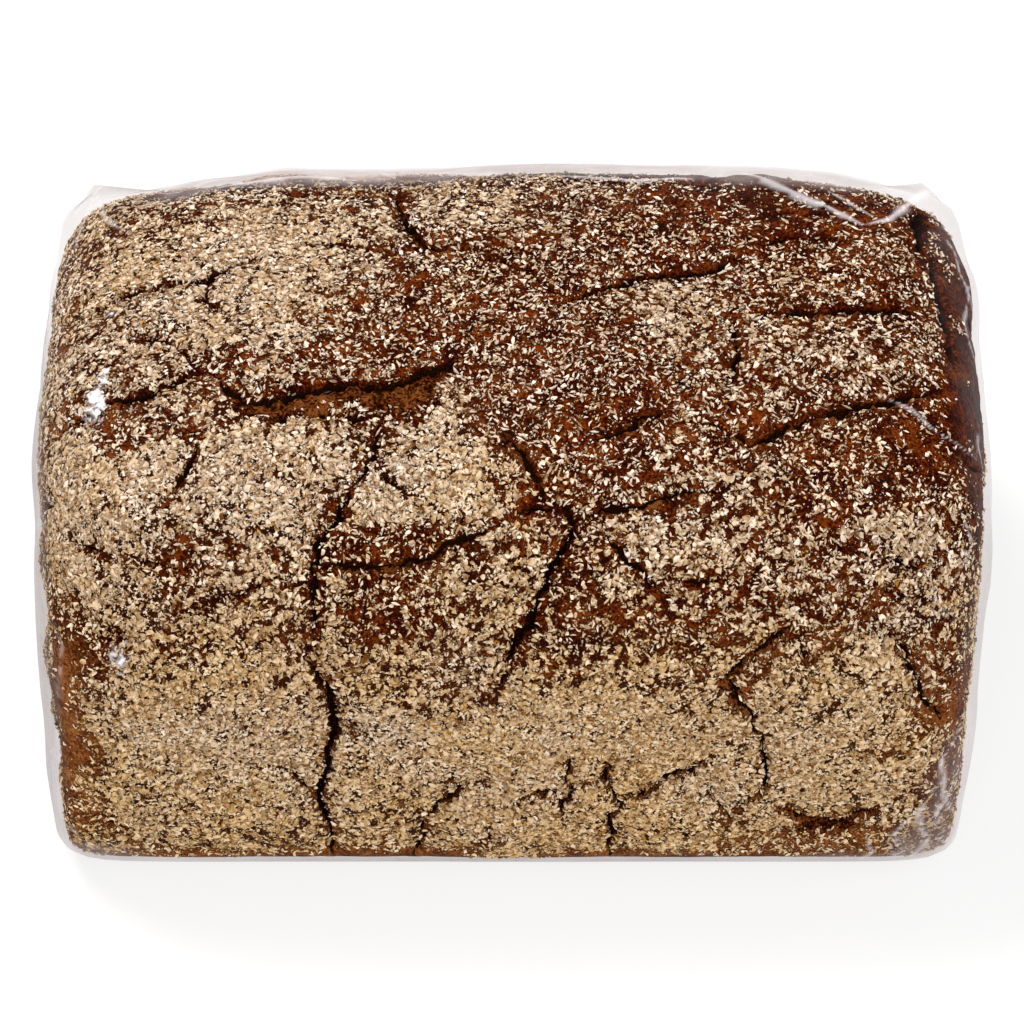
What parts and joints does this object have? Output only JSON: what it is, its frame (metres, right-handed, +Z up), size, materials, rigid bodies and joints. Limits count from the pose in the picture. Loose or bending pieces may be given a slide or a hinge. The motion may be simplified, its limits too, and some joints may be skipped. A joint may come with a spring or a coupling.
{
  "type": "bagged bread loaf",
  "caption": "Rye sourdough loaf with a cracked, floured crust, resting on its flat base in a close-fitting clear bag with gathered ends.",
  "frame": {"origin": "centre of the flat underside, at the bottom centre of the bag", "axes": "+X along the loaf's length, +Y from its front to its back, +Z up from the base it rests on to the crown"},
  "size_m": [0.195, 0.1443, 0.0964],
  "materials": {
    "crust": "baked rye crust, reddish brown, half gloss, dusted with coarse rye flour",
    "flour": "dry, matt cream to tan meal and bran flakes",
    "film": "thin clear glossy film with creases"
  },
  "bodies": {
    "root": {"bagged_loaf": "crust"}
  },
  "joints": []
}
